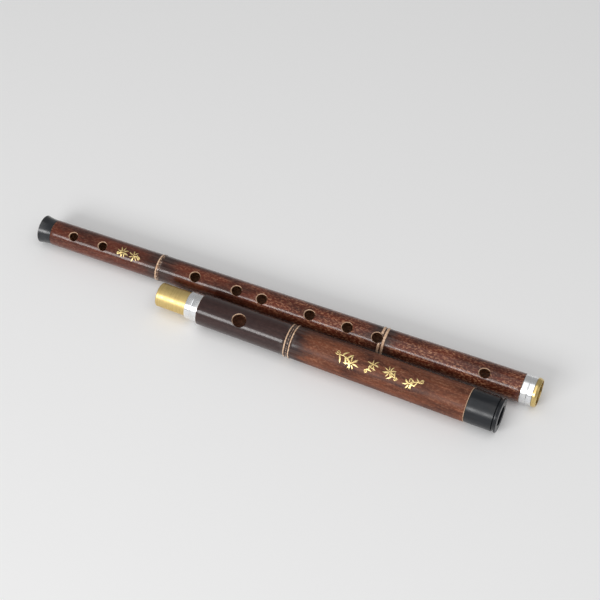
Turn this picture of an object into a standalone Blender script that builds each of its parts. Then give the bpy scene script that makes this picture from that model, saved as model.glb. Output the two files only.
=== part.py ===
import math

import bmesh
import bpy
from mathutils import Matrix

# A two-section transverse bamboo flute, taken apart and laid side by side.
# Each section is modelled along its own local X with its holes facing local Z,
# under an empty that lays it on the ground plane and rolls the holes forward.
# The origin is the middle of the footprint, with X along the flute.

MM = 0.001

# Round pieces have this many facets, turned so that a facet faces each axis.
# Blow and finger holes have fewer.
ROUND_FACETS = 36
HOLE_FACETS = 24

# Clearances: glued sleeves, end faces that meet, and the pieces that slide.
SLEEVE_GAP = 0.10 * MM
SEAT_GAP = 0.20 * MM
RUNNING_GAP = 0.05 * MM

# How the two sections lie: how far the head section's tip lies from the body
# section's axis and along it from the foot end, how far the head section is
# turned away from it, and the roll of both hole rows.
HEAD_ASIDE = 26.0 * MM
HEAD_SETBACK = 116.0 * MM
HEAD_YAW = math.radians(-1.2)
ROLL = math.radians(30.0)

# Body section, bamboo tube. It grows thicker from the foot to the socket, and
# its length is the sum of the spacings.
BODY_FOOT_RADIUS = 9.9 * MM
BODY_SOCKET_RADIUS = 10.8 * MM
BODY_BORE_RADIUS = 7.8 * MM
FOOT_TO_VENT = 19.5 * MM
VENT_SPACING = 25.5 * MM
VENT_TO_FIRST_FINGER = 79.5 * MM
FINGER_SPACINGS = (34.8 * MM, 20.8 * MM, 39.0 * MM, 30.2 * MM, 23.7 * MM)
LAST_FINGER_TO_MEMBRANE = 83.1 * MM
MEMBRANE_TO_FERRULE = 28.0 * MM
BACK_VENT_BEFORE_FINGER = 47.0 * MM
BACK_VENT_SPACING = 22.0 * MM
LOWER_NODE_BEFORE_FINGER = 30.2 * MM
UPPER_NODE_AFTER_FINGER = 5.7 * MM
UPPER_NODE_PITCH = 3.0 * MM
BODY_NODE_HEIGHT = 0.4 * MM
BODY_NODE_WIDTH = 2.2 * MM

# Holes: length along the flute and width across it.
FINGER_HOLE = (8.2 * MM, 7.6 * MM)
VENT_HOLE = (7.0 * MM, 6.6 * MM)
BACK_VENT_HOLE = (5.2 * MM, 5.2 * MM)
MEMBRANE_HOLE = (8.2 * MM, 6.8 * MM)
BLOW_HOLE = (10.6 * MM, 9.6 * MM)

# Horn ring on the foot. Its lip and the socket's flange are the same radius,
# so the section lies level on them.
BODY_END_RADIUS = 11.0 * MM
FOOT_RING_LENGTH = 10.4 * MM
FOOT_RING_WAIST = 9.7 * MM
FOOT_SPIGOT_LENGTH = 6.0 * MM
SPIGOT_WALL = 1.1 * MM
EDGE_ROUND = 0.4 * MM

# Brass tenon of the head section, and the brass liner of the socket it enters.
TENON_RADIUS = 9.2 * MM
TENON_WALL = 0.5 * MM
TENON_LENGTH = 24.9 * MM
TENON_GLUED = 24.0 * MM
LINER_WALL = 0.4 * MM
LINER_SPARE_DEPTH = 1.5 * MM
FLANGE_RIM = 1.5 * MM
FLANGE_BEVEL = 1.8 * MM
FLANGE_FACE = 0.9 * MM

# Bright ferrule on the socket end and the matching collar behind the tenon.
# Both are rings of two bands with a groove between them.
SOCKET_SLEEVE_WALL = 0.40 * MM
TENON_SLEEVE_WALL = 0.85 * MM
BAND_WALL = 0.4 * MM
FERRULE_LENGTH = 9.2 * MM
COLLAR_LENGTH = 10.4 * MM
COLLAR_END_WALL = 1.0 * MM
GROOVE_DEPTH = 0.2 * MM
GROOVE_WIDTH = 0.8 * MM

# Head section, bamboo tube. Beyond its node it grows thicker towards the cap.
HEAD_RADIUS = 12.0 * MM
HEAD_NODE_RADIUS = 12.3 * MM
HEAD_END_RADIUS = 12.95 * MM
HEAD_BORE_RADIUS = 8.2 * MM
COLLAR_TO_BLOW_HOLE = 34.0 * MM
BLOW_HOLE_TO_NODE = 38.9 * MM
HEAD_NODE_PITCH = 4.9 * MM
HEAD_NODE_TO_CAP = 135.7 * MM
HEAD_NODE_WIDTH = 2.4 * MM

# Horn cap on the head end. Its bead and the node ridges are the same radius,
# so the section lies level on them.
HEAD_RIM_RADIUS = 13.1 * MM
CAP_LENGTH = 23.6 * MM
CAP_RADIUS = 12.7 * MM
CAP_SPIGOT_LENGTH = 9.0 * MM
CAP_SPIGOT_WALL = 2.2 * MM
CAP_BORE_RADIUS = 7.0 * MM
CAP_BEAD_WIDTH = 1.6 * MM
CAP_GROOVE_WIDTH = 1.4 * MM
CAP_GROOVE_DEPTH = 1.0 * MM

# Cork plug inside the head section, beyond the blow hole.
PLUG_FROM_BLOW_HOLE = 12.0 * MM
PLUG_LENGTH = 18.0 * MM

# Places along the body section, from its foot end.
body_tube_start = FOOT_RING_LENGTH
first_vent = body_tube_start + FOOT_TO_VENT
second_vent = first_vent + VENT_SPACING
finger_holes = [second_vent + VENT_TO_FIRST_FINGER]
for spacing in FINGER_SPACINGS:
    finger_holes.append(finger_holes[-1] + spacing)
membrane_hole = finger_holes[-1] + LAST_FINGER_TO_MEMBRANE
ferrule_start = membrane_hole + MEMBRANE_TO_FERRULE
ferrule_end = ferrule_start + FERRULE_LENGTH
body_length = ferrule_end + SEAT_GAP + FLANGE_RIM + FLANGE_BEVEL
lower_node = finger_holes[0] - LOWER_NODE_BEFORE_FINGER
upper_node = finger_holes[-1] + UPPER_NODE_AFTER_FINGER
back_vents = [finger_holes[0] - BACK_VENT_BEFORE_FINGER]
back_vents.append(back_vents[0] - BACK_VENT_SPACING)

# Places along the head section, from the tip of its tenon.
collar_end = TENON_LENGTH + COLLAR_LENGTH
blow_hole = collar_end + COLLAR_TO_BLOW_HOLE
head_node = blow_hole + BLOW_HOLE_TO_NODE
cap_start = head_node + HEAD_NODE_PITCH + HEAD_NODE_TO_CAP
head_length = cap_start + CAP_LENGTH
plug_start = blow_hole + PLUG_FROM_BLOW_HOLE

# Radii that follow from the fits, from the tenon outwards.
tenon_bore = TENON_RADIUS - TENON_WALL
liner_bore = TENON_RADIUS + RUNNING_GAP
liner_radius = liner_bore + LINER_WALL
socket_counterbore = liner_radius + SLEEVE_GAP
socket_sleeve = socket_counterbore + SOCKET_SLEEVE_WALL
tenon_counterbore = TENON_RADIUS + SLEEVE_GAP
tenon_sleeve = tenon_counterbore + TENON_SLEEVE_WALL
foot_spigot = BODY_BORE_RADIUS + SPIGOT_WALL
cap_spigot = HEAD_BORE_RADIUS + CAP_SPIGOT_WALL


def make_material(name, colour, roughness, metallic):
    material = bpy.data.materials.new(name)
    material.use_nodes = True
    shader = material.node_tree.nodes["Principled BSDF"]
    shader.inputs["Base Color"].default_value = (*colour, 1.0)
    shader.inputs["Roughness"].default_value = roughness
    shader.inputs["Metallic"].default_value = metallic
    material.diffuse_color = (*colour, 1.0)
    return material


def new_collection(name):
    collection = bpy.data.collections.new(name)
    bpy.context.scene.collection.children.link(collection)
    return collection


def section_frame(name, location, yaw):
    """An empty on the section's axis, rolled so that local Z leans to world -Y
    and then turned about world Z."""
    frame = bpy.data.objects.new(name, None)
    frame.empty_display_size = 0.02
    frame.location = location
    frame.rotation_euler = (ROLL, 0.0, yaw)
    parts.objects.link(frame)
    return frame


def turned_ring(name, frame, material, outside, bore):
    """Turn a ring about local X from its outside and bore, both (x, radius)
    lists that run from the low end to the high end."""
    outline = list(reversed(outside)) + list(bore)
    phase = math.pi / ROUND_FACETS
    mesh = bpy.data.meshes.new(name)
    shape = bmesh.new()
    points = []
    for x, radius in outline:
        points.append(shape.verts.new((x, radius * math.cos(phase), radius * math.sin(phase))))
    for index, point in enumerate(points):
        shape.edges.new((point, points[(index + 1) % len(points)]))
    shape.to_mesh(mesh)
    shape.free()
    mesh.materials.append(material)
    ring = bpy.data.objects.new(name, mesh)
    ring.parent = frame
    parts.objects.link(ring)
    screw = ring.modifiers.new("Turn", "SCREW")
    screw.axis = "X"
    screw.angle = math.tau
    screw.steps = ROUND_FACETS
    screw.render_steps = ROUND_FACETS
    screw.use_merge_vertices = True
    screw.merge_threshold = 0.000001
    return ring


def smooth_faces(piece, sharp_degrees=35.0):
    """Shade a finished turned piece smooth, and keep its corners crisp."""
    depsgraph = bpy.context.evaluated_depsgraph_get()
    mesh = bpy.data.meshes.new_from_object(piece.evaluated_get(depsgraph))
    mesh.name = piece.name
    piece.modifiers.clear()
    piece.data = mesh
    mesh.shade_smooth()
    mesh.set_sharp_from_angle(angle=math.radians(sharp_degrees))


def cut_hole(piece, frame, place, size, side=1.0):
    """Cut an oval hole through one wall of a tube, at local +Z or -Z."""
    reach = HEAD_RIM_RADIUS + BODY_END_RADIUS
    bpy.ops.mesh.primitive_cylinder_add(vertices=HOLE_FACETS, radius=0.5, depth=1.0)
    cutter = bpy.context.active_object
    cutter.name = piece.name + "_hole"
    cutter.data.transform(Matrix.Diagonal((size[0], size[1], reach, 1.0)))
    for collection in list(cutter.users_collection):
        collection.objects.unlink(cutter)
    cutters.objects.link(cutter)
    cutter.parent = frame
    cutter.location = (place, 0.0, side * reach / 2)
    cutter.hide_render = True
    cutter.display_type = "WIRE"
    cut = piece.modifiers.new("Hole", "BOOLEAN")
    cut.operation = "DIFFERENCE"
    cut.solver = "EXACT"
    cut.object = cutter


def ridge(place, base_before, base_after, top, width):
    """Points of a rounded ridge, from its low end to its high end."""
    points = []
    count = 6
    for index in range(count + 1):
        share = index / count
        base = base_before + (base_after - base_before) * share
        swell = math.sin(math.pi * share)
        points.append((place + (share - 0.5) * width, base + (top - base) * swell))
    return points


def rounded_end(x, radius, direction):
    """Two points that break the edge of an outside at its low (-1) or high (1) end."""
    edge = (x, radius - EDGE_ROUND)
    shoulder = (x - direction * EDGE_ROUND, radius)
    return [edge, shoulder] if direction < 0 else [shoulder, edge]


def banded(start, end, radius):
    """The outside of a bright ring: two bands with a groove between them."""
    middle = (start + end) / 2
    half = GROOVE_WIDTH / 2
    points = [(start, radius - GROOVE_DEPTH), (start + half, radius)]
    points += [(middle - half, radius), (middle, radius - GROOVE_DEPTH), (middle + half, radius)]
    points += [(end - half, radius), (end, radius - GROOVE_DEPTH)]
    return points


def body_radius(place):
    """Outer radius of the body's bamboo at a place along the section."""
    share = (place - body_tube_start) / (ferrule_start - body_tube_start)
    return BODY_FOOT_RADIUS + (BODY_SOCKET_RADIUS - BODY_FOOT_RADIUS) * share


def build_body_tube(frame):
    """Bamboo with two nodes, a spigot for the foot ring and a counterbored sleeve
    at the socket end that the ferrule is slipped over."""
    spigot_start = body_tube_start - FOOT_SPIGOT_LENGTH
    liner_depth = TENON_LENGTH + LINER_SPARE_DEPTH
    counterbore_start = body_length - liner_depth - SEAT_GAP
    half_pitch = UPPER_NODE_PITCH / 2
    outside = [(spigot_start, foot_spigot), (body_tube_start, foot_spigot)]
    outside += rounded_end(body_tube_start, BODY_FOOT_RADIUS, -1)
    for place in (lower_node, upper_node - half_pitch, upper_node + half_pitch):
        base = body_radius(place)
        outside += ridge(place, base, base, base + BODY_NODE_HEIGHT, BODY_NODE_WIDTH)
    outside += rounded_end(ferrule_start, BODY_SOCKET_RADIUS, 1)
    outside += [(ferrule_start, socket_sleeve), (ferrule_end, socket_sleeve)]
    bore = [(spigot_start, BODY_BORE_RADIUS), (counterbore_start, BODY_BORE_RADIUS)]
    bore += [(counterbore_start, socket_counterbore), (ferrule_end, socket_counterbore)]
    tube = turned_ring("body_tube", frame, bamboo, outside, bore)
    for place in (first_vent, second_vent):
        cut_hole(tube, frame, place, VENT_HOLE)
    for place in finger_holes:
        cut_hole(tube, frame, place, FINGER_HOLE)
    for place in back_vents:
        cut_hole(tube, frame, place, BACK_VENT_HOLE, side=-1.0)
    cut_hole(tube, frame, membrane_hole, MEMBRANE_HOLE)
    return tube


def build_foot_ring(frame):
    """Turned horn ring on the foot: a waist beside the bamboo, flaring to a lip."""
    end = body_tube_start - SEAT_GAP
    flare = []
    count = 6
    for index in range(count + 1):
        share = index / count
        x = EDGE_ROUND + (end - EDGE_ROUND) * share
        widening = (1.0 - share) ** 2
        flare.append((x, FOOT_RING_WAIST + (BODY_END_RADIUS - FOOT_RING_WAIST) * widening))
    outside = [(0.0, BODY_END_RADIUS - EDGE_ROUND)] + flare
    seat = body_tube_start - FOOT_SPIGOT_LENGTH - SEAT_GAP
    socket = foot_spigot + SLEEVE_GAP
    bore = [(0.0, BODY_BORE_RADIUS), (seat, BODY_BORE_RADIUS), (seat, socket), (end, socket)]
    return turned_ring("body_foot_ring", frame, horn, outside, bore)


def build_socket_liner(frame):
    """Brass tube that lines the socket, with a bevelled flange at its mouth."""
    rim_start = ferrule_end + SEAT_GAP
    rim_end = rim_start + FLANGE_RIM
    depth = TENON_LENGTH + LINER_SPARE_DEPTH
    start = body_length - depth
    face = liner_bore + FLANGE_FACE
    outside = [(start, liner_radius), (rim_start, liner_radius)]
    outside += [(rim_start, BODY_END_RADIUS), (rim_end, BODY_END_RADIUS), (body_length, face)]
    bore = [(start, liner_bore), (body_length, liner_bore)]
    return turned_ring("body_socket_liner", frame, brass, outside, bore)


def build_ferrule(frame):
    """Bright ring over the bamboo's sleeve at the socket end."""
    start = ferrule_start + SEAT_GAP
    inner = socket_sleeve + SLEEVE_GAP
    outside = banded(start, ferrule_end, inner + BAND_WALL)
    bore = [(start, inner), (ferrule_end, inner)]
    return turned_ring("body_ferrule", frame, silver, outside, bore)


def build_tenon(frame):
    """Brass tube glued into the head's bamboo; its free end enters the socket."""
    end = TENON_LENGTH + COLLAR_END_WALL + TENON_GLUED
    tip = TENON_WALL / 2
    outside = [(0.0, TENON_RADIUS - tip), (tip, TENON_RADIUS), (end, TENON_RADIUS)]
    bore = [(0.0, tenon_bore), (end, tenon_bore)]
    return turned_ring("head_tenon", frame, brass, outside, bore)


def build_collar(frame):
    """Bright ring over the bamboo's sleeve, with an end wall that closes on the
    tenon and meets the socket's flange when the flute is put together."""
    inner = tenon_sleeve + SLEEVE_GAP
    seat = TENON_LENGTH + COLLAR_END_WALL
    end = collar_end - SEAT_GAP
    outside = banded(TENON_LENGTH, end, inner + BAND_WALL)
    bore = [(TENON_LENGTH, tenon_counterbore), (seat, tenon_counterbore), (seat, inner), (end, inner)]
    return turned_ring("head_collar", frame, silver, outside, bore)


def build_head_tube(frame):
    """Bamboo with the blow hole and one double node, growing thicker beyond it. A
    sleeve at one end carries the collar and tenon, a spigot at the other the cap."""
    sleeve_start = TENON_LENGTH + COLLAR_END_WALL + SEAT_GAP
    tenon_end = TENON_LENGTH + COLLAR_END_WALL + TENON_GLUED + SEAT_GAP
    between = (HEAD_RADIUS + HEAD_NODE_RADIUS) / 2
    outside = [(sleeve_start, tenon_sleeve), (collar_end, tenon_sleeve)]
    outside += rounded_end(collar_end, HEAD_RADIUS, -1)
    outside += ridge(head_node, HEAD_RADIUS, between, HEAD_RIM_RADIUS, HEAD_NODE_WIDTH)
    outside += ridge(head_node + HEAD_NODE_PITCH, between, HEAD_NODE_RADIUS, HEAD_RIM_RADIUS, HEAD_NODE_WIDTH)
    outside += rounded_end(cap_start - SEAT_GAP, HEAD_END_RADIUS, 1)
    outside += [(cap_start - SEAT_GAP, cap_spigot), (cap_start + CAP_SPIGOT_LENGTH, cap_spigot)]
    bore = [(sleeve_start, tenon_counterbore), (tenon_end, tenon_counterbore)]
    bore += [(tenon_end, HEAD_BORE_RADIUS), (cap_start + CAP_SPIGOT_LENGTH, HEAD_BORE_RADIUS)]
    tube = turned_ring("head_tube", frame, bamboo, outside, bore)
    cut_hole(tube, frame, blow_hole, BLOW_HOLE)
    return tube


def build_cap(frame):
    """Turned horn cap on the head end, with a groove and a bead near its open end."""
    bead_start = head_length - CAP_BEAD_WIDTH
    groove_start = bead_start - CAP_GROOVE_WIDTH
    groove_radius = CAP_RADIUS - CAP_GROOVE_DEPTH
    socket = cap_spigot + SLEEVE_GAP
    seat = cap_start + CAP_SPIGOT_LENGTH + SEAT_GAP
    outside = [(cap_start, CAP_RADIUS)]
    outside += rounded_end(groove_start, CAP_RADIUS, 1)
    outside += [(groove_start, groove_radius), (bead_start, groove_radius)]
    outside += ridge((bead_start + head_length) / 2, groove_radius, groove_radius, HEAD_RIM_RADIUS,
                     CAP_BEAD_WIDTH)[1:-1]
    outside += [(head_length, groove_radius)]
    bore = [(cap_start, socket), (seat, socket), (seat, CAP_BORE_RADIUS), (head_length, CAP_BORE_RADIUS)]
    return turned_ring("head_cap", frame, horn, outside, bore)


def build_plug(frame):
    """Cork plug that closes the bore beyond the blow hole, a sliding fit in it."""
    radius = HEAD_BORE_RADIUS - RUNNING_GAP
    bpy.ops.mesh.primitive_cylinder_add(vertices=ROUND_FACETS, radius=radius, depth=PLUG_LENGTH)
    plug = bpy.context.active_object
    plug.name = "head_plug"
    plug.data.name = "head_plug"
    for collection in list(plug.users_collection):
        collection.objects.unlink(plug)
    parts.objects.link(plug)
    plug.data.materials.append(cork)
    facet_turn = Matrix.Rotation(math.pi / ROUND_FACETS, 4, "Z")
    plug.data.transform(Matrix.Rotation(math.radians(90.0), 4, "Y") @ facet_turn)
    plug.parent = frame
    plug.location = (plug_start + PLUG_LENGTH / 2, 0.0, 0.0)
    chamfer = plug.modifiers.new("Edge", "BEVEL")
    chamfer.width = EDGE_ROUND
    chamfer.segments = 1
    chamfer.limit_method = "ANGLE"
    chamfer.angle_limit = math.radians(60.0)
    return plug


for item in list(bpy.data.objects):
    bpy.data.objects.remove(item, do_unlink=True)

parts = new_collection("dizi")
cutters = new_collection("dizi_cutters")

bamboo = make_material("bamboo", (0.180, 0.055, 0.025), 0.25, 0.0)
horn = make_material("black_horn", (0.018, 0.018, 0.020), 0.30, 0.0)
brass = make_material("brass", (0.780, 0.570, 0.220), 0.30, 1.0)
silver = make_material("bright_metal", (0.820, 0.830, 0.850), 0.10, 1.0)
cork = make_material("cork", (0.560, 0.370, 0.210), 0.85, 0.0)

# A faceted round rests on its flat, a little inside its nominal radius. The
# footprint runs from the body section's flange to the head section's far bead.
flat = math.cos(math.pi / ROUND_FACETS)
body_reach = flat * BODY_END_RADIUS
head_reach = flat * HEAD_RIM_RADIUS
bead_place = head_length - CAP_BEAD_WIDTH / 2
bead_aside = HEAD_ASIDE - bead_place * math.sin(HEAD_YAW)
middle_x = body_length / 2
middle_y = (body_reach - bead_aside - head_reach * math.cos(HEAD_YAW)) / 2

body_frame = section_frame("body_section", (-middle_x, -middle_y, body_reach), 0.0)
head_place = (HEAD_SETBACK - middle_x, -HEAD_ASIDE - middle_y, head_reach)
head_frame = section_frame("head_section", head_place, HEAD_YAW)

finished = [
    build_body_tube(body_frame),
    build_foot_ring(body_frame),
    build_ferrule(body_frame),
    build_socket_liner(body_frame),
    build_head_tube(head_frame),
    build_tenon(head_frame),
    build_collar(head_frame),
    build_cap(head_frame),
    build_plug(head_frame),
]
for piece in finished:
    smooth_faces(piece)
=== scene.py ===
import math

import bmesh
import bpy
from mathutils import Matrix, Vector, geometry, noise


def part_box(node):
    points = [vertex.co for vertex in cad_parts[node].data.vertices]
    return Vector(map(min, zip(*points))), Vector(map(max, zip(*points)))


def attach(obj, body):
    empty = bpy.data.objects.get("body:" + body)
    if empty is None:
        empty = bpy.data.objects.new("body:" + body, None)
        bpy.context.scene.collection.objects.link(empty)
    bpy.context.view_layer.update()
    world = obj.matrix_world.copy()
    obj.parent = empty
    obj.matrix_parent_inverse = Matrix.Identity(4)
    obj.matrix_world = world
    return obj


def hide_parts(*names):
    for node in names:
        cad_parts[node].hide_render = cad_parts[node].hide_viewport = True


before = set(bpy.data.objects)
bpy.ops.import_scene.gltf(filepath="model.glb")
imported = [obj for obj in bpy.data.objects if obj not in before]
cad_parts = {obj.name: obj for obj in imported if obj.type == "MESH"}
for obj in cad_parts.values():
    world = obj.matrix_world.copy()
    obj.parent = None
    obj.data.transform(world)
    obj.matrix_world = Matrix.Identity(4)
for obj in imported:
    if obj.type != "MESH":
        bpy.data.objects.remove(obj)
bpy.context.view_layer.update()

# Camera. It looks down on the two sections from in front, a little from the
# right, with a short telephoto view that keeps the tubes nearly parallel.
MM = 0.001
CAMERA_TURN = math.radians(23.52)
CAMERA_RISE = math.radians(49.37)
CAMERA_DISTANCE = 1148.3 * MM
CAMERA_TARGET = Vector((6.91 * MM, 37.88 * MM, 0.0))
CAMERA_LENS = 90.0


def put_in_scene(name, data):
    made = bpy.data.objects.new(name, data)
    bpy.context.scene.collection.objects.link(made)
    return made


camera_back = Vector((
    math.sin(CAMERA_TURN) * math.cos(CAMERA_RISE),
    -math.cos(CAMERA_TURN) * math.cos(CAMERA_RISE),
    math.sin(CAMERA_RISE),
))
camera_data = bpy.data.cameras.new("camera")
camera_data.lens = CAMERA_LENS
camera_data.sensor_width = 36.0
camera_data.clip_start = 0.01
camera_data.clip_end = 50.0
camera = put_in_scene("camera", camera_data)
camera.location = CAMERA_TARGET + camera_back * CAMERA_DISTANCE
camera.rotation_euler = (-camera_back).to_track_quat("-Z", "Y").to_euler()
bpy.context.scene.camera = camera

# The two sections. The long one has the finger holes and the socket, the short
# one the blow hole and the tenon. Each is described along its own X from its
# left end, with its holes at its own +Z; both lie rolled towards the viewer.
ROLL = math.radians(30.0)
HEAD_YAW = math.radians(-1.2)
FOOT_RING_END = 10.2 * MM
TENON_END = 49.9 * MM


def section_place(end_node, length, yaw):
    """The matrix of a section, from the round piece that ends it on the left."""
    low, high = (Vector(corner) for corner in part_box(end_node))
    lie = Matrix.Rotation(yaw, 4, "Z") @ Matrix.Rotation(ROLL, 4, "X")
    left = (low + high) / 2 - lie @ Vector((length / 2, 0.0, 0.0))
    return Matrix.Translation(left) @ lie


body_section = section_place("body_foot_ring", FOOT_RING_END, 0.0)
head_section = section_place("head_tenon", TENON_END, HEAD_YAW)

# Bamboo of the long section. Dark, smoke-stained bamboo with two nodes, whose
# ridges are scraped back to pale wood, as are the eased rims of its holes; the
# rims are made paler still on their upper-left side, which is a painted highlight.
BODY_FOOT_RADIUS = 9.9 * MM
BODY_SOCKET_RADIUS = 10.8 * MM
BODY_BORE = 7.8 * MM
BODY_START = 10.4 * MM
BODY_BAMBOO_END = 394.4 * MM
BODY_TUBE_END = 403.6 * MM
BODY_SPIGOT = 8.9 * MM
BODY_SPIGOT_LENGTH = 6.0 * MM
BODY_SLEEVE = 10.15 * MM
SOCKET_COUNTERBORE = 9.75 * MM
COUNTERBORE_DEPTH = 23.6 * MM
BODY_NODE_HEIGHT = 0.4 * MM
NODE_WIDTH = 2.4 * MM
LOWER_NODE = 104.4 * MM
UPPER_NODE = 287.5 * MM
UPPER_NODE_PITCH = 3.0 * MM
VENTS = (29.9 * MM, 55.4 * MM)
FINGER_HOLES = (134.9 * MM, 169.7 * MM, 190.5 * MM, 229.5 * MM, 259.7 * MM, 283.4 * MM)
BACK_VENTS = (87.9 * MM, 65.9 * MM)
MEMBRANE_HOLE = 366.5 * MM
VENT_SIZE = (7.0 * MM, 6.6 * MM)
FINGER_SIZE = (8.2 * MM, 7.6 * MM)
BACK_VENT_SIZE = (5.2 * MM, 5.2 * MM)
MEMBRANE_SIZE = (8.2 * MM, 6.8 * MM)
RIM_WIDTH = 0.5 * MM
RIM_DROP = 0.6 * MM
RIM_PROFILE = (
    (0.96, 0.004, 0.2), (0.9, 0.03, 0.5), (0.75, 0.12, 0.9), (0.5, 0.32, 1.0),
    (0.28, 0.58, 1.0), (0.1, 0.82, 1.0), (0.0, 1.0, 1.0))
WALL_PROFILE = ((0.06, 0.9), (0.25, 0.5), (0.5, 0.1), (0.94, 0.0))
# Painted highlight: round each hole the rim's bare share swings with a cosine that peaks at the upper-left.
# This paints the lit crescent of the rim, and the top of the hole wall carries it down.
PAINTED_HIGHLIGHT_TURN = 2.4
PAINTED_HIGHLIGHT_SWING = 0.38
TUBE_FACETS = 144
HOLE_POINTS = 64
PATCH_MARGIN = 1.6 * MM
OUTLINE_ROOM = 0.35 * MM
ROW_SPACING = 2.4 * MM
RIDGE_ROWS = 12
EDGE_ROWS = 5
SHARP_ANGLE = math.radians(38.0)
ZONE_STRAY = 18.0 * MM
SKIN, HOLE_WALL, BORE_WALL = 0, 1, 2


def bamboo_swell(x, angle, seed):
    """How far the grown skin stands off a true cylinder: slow waves along it."""
    around = Vector((math.cos(angle), math.sin(angle), 0.0))
    slow = noise.noise(Vector((x * 14 + seed, around.x * 0.9, around.y * 0.9)))
    quick = noise.noise(Vector((x * 45 + seed, around.x * 4.0, around.y * 4.0)))
    return (0.05 * slow + 0.008 * quick) * MM


def node_drift(angle, seed):
    """How far a ridge strays along the tube: not at the hole row, more behind it."""
    away = abs(math.remainder(angle, math.tau))
    share = min(1.0, max(0.0, (away - 0.6) / 0.7))
    stray = noise.noise(Vector((math.cos(angle) * 1.6 + seed, math.sin(angle) * 1.6, seed)))
    lean = -0.7 * abs(math.sin(angle))
    return share * share * (3.0 - 2.0 * share) * (lean + 0.9 * stray)


def part_way(start, end, share):
    return start + (end - start) * share


def straight(start, end):
    """Rows of (x, radius, bare, drift) along a straight run, without its last point."""
    count = max(1, round((end[0] - start[0]) / ROW_SPACING))
    rows = []
    for index in range(count):
        share = index / count
        rows.append((part_way(start[0], end[0], share), part_way(start[1], end[1], share), 0.0, 0.0))
    return rows


def node_ridge(place, before, after, height, width, bare, drift):
    """A node's ridge: the skin swells to a crest that is scraped pale. The bare
    shares are given across the ridge, from its low side to its high side."""
    rows = []
    for index in range(RIDGE_ROWS + 1):
        share = index / RIDGE_ROWS
        radius = part_way(before, after, share) + height * math.sin(math.pi * share) ** 1.5
        spot = share * (len(bare) - 1)
        left = min(int(spot), len(bare) - 2)
        scraped = part_way(bare[left], bare[left + 1], spot - left)
        rows.append((place + (share - 0.5) * width, radius, scraped, drift))
    return rows


def eased_edge(x, radius, reach, direction, bare):
    """A rounded edge of the bamboo, paler where the skin is cut away."""
    rows = []
    for index in range(EDGE_ROWS + 1):
        turn = math.pi / 2 * index / EDGE_ROWS
        back = reach * (1 - math.sin(turn))
        rows.append((x - direction * back, radius - reach * (1 - math.cos(turn)), bare * min(index, 1), 0.0))
    return rows if direction > 0 else rows[::-1]


def plain_rows(*points):
    """Rows of (x, radius) where the wood is neither bare nor astray."""
    return [(x, radius, 0.0, 0.0) for x, radius in points]


def on_tube(x, radius, angle):
    return Vector((x, radius * math.sin(angle), radius * math.cos(angle)))


def closed_mesh(name, shape):
    """The finished shape as a mesh, with its faces turned outwards."""
    bmesh.ops.recalc_face_normals(shape, faces=shape.faces)
    mesh = bpy.data.meshes.new(name)
    shape.to_mesh(mesh)
    shape.free()
    return mesh


def row_radius(rows, x):
    """Radius of the tube at x, between two rows of its outside or bore."""
    for before, after in zip(rows, rows[1:]):
        if before[0] <= x <= after[0] and after[0] > before[0]:
            return part_way(before[1], after[1], (x - before[0]) / (after[0] - before[0]))
    return rows[-1][1]


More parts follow.
